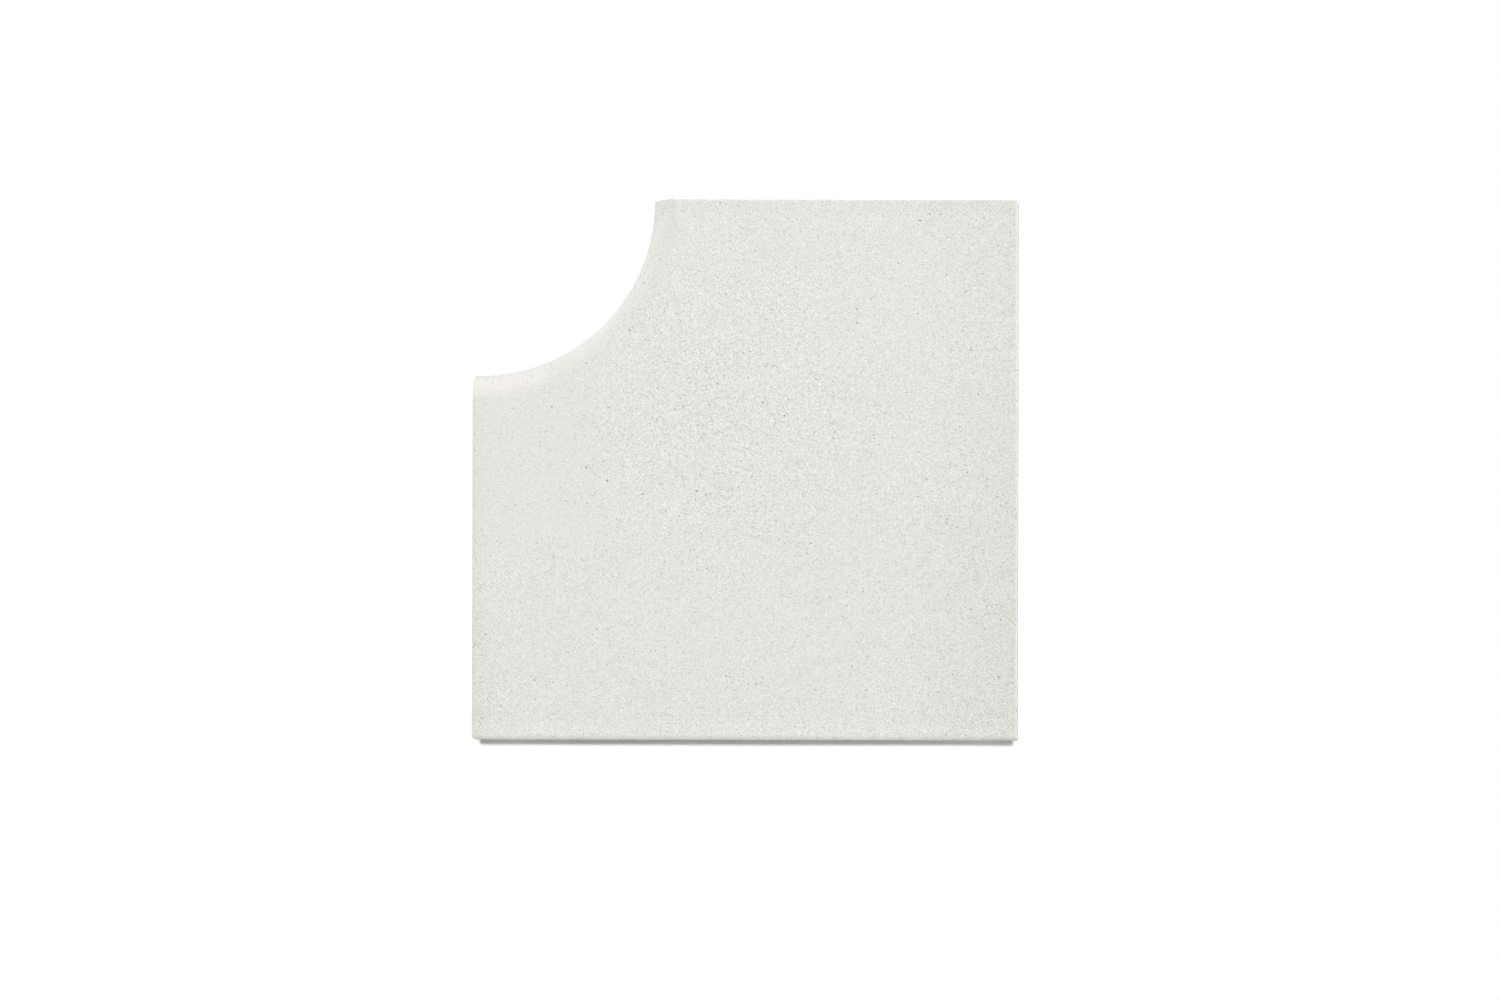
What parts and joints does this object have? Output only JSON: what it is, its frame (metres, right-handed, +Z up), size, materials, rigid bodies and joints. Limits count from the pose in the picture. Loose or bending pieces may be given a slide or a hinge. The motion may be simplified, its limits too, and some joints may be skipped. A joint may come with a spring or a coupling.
{
  "type": "pool coping corner stone",
  "caption": "Square cast concrete paver with a concave quarter-round cut from a corner; the curved edge has a rounded bullnose, to cap the inside corner of a pool wall.",
  "frame": {"origin": "middle of the bed, under the centre of the overall box", "axes": "+Z up from the bed to the walking face, +X towards the right outer side, +Y towards the back joint face; the cove is in the corner at -X and +Y"},
  "size_m": [0.448, 0.4436, 0.045],
  "materials": {
    "cast_concrete": "matt, fine-pored"
  },
  "bodies": {
    "root": {"coping_corner_stone": "cast_concrete"}
  },
  "joints": []
}
